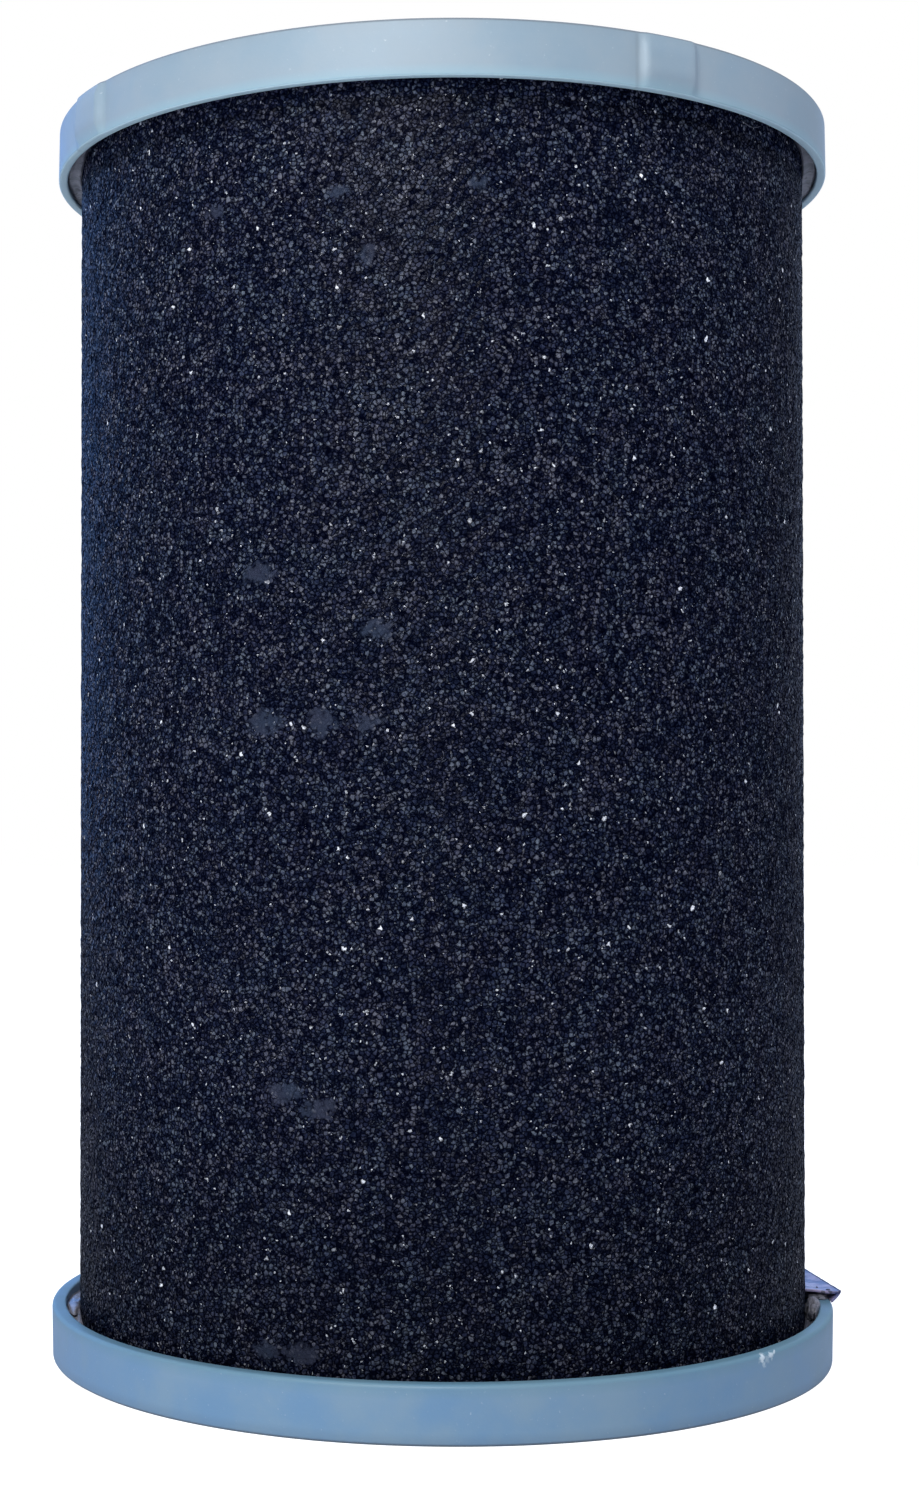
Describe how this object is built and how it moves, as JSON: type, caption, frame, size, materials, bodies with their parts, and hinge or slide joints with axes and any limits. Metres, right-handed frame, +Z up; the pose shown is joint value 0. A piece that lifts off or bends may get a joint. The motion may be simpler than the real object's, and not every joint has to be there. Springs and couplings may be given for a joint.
{
  "type": "activated carbon pre-filter",
  "caption": "Cylindrical activated carbon water pre-filter: a gritty dark carbon tube glued into two pale moulded end caps, with a gasketed outlet on top.",
  "frame": {"origin": "centre of the bottom cap's base, on the surface that the filter stands on", "axes": "+Z up along the filter's axis to the outlet, -Y is the front that the picture shows, +X to its right"},
  "size_m": [0.1022, 0.1012, 0.1606],
  "materials": {
    "bonded_carbon": "gritty, porous, matt with small glints",
    "cap_plastic": "pale blue-grey moulded plastic, satin",
    "hot_melt": "set hot melt, greyish, half glossy",
    "gasket_rubber": "soft black rubber, matt"
  },
  "bodies": {
    "root": {"carbon_block": "bonded_carbon", "top_cap": "cap_plastic", "bottom_cap": "cap_plastic", "top_glue": "hot_melt", "bottom_glue": "hot_melt", "outlet_gasket": "gasket_rubber"}
  },
  "joints": []
}
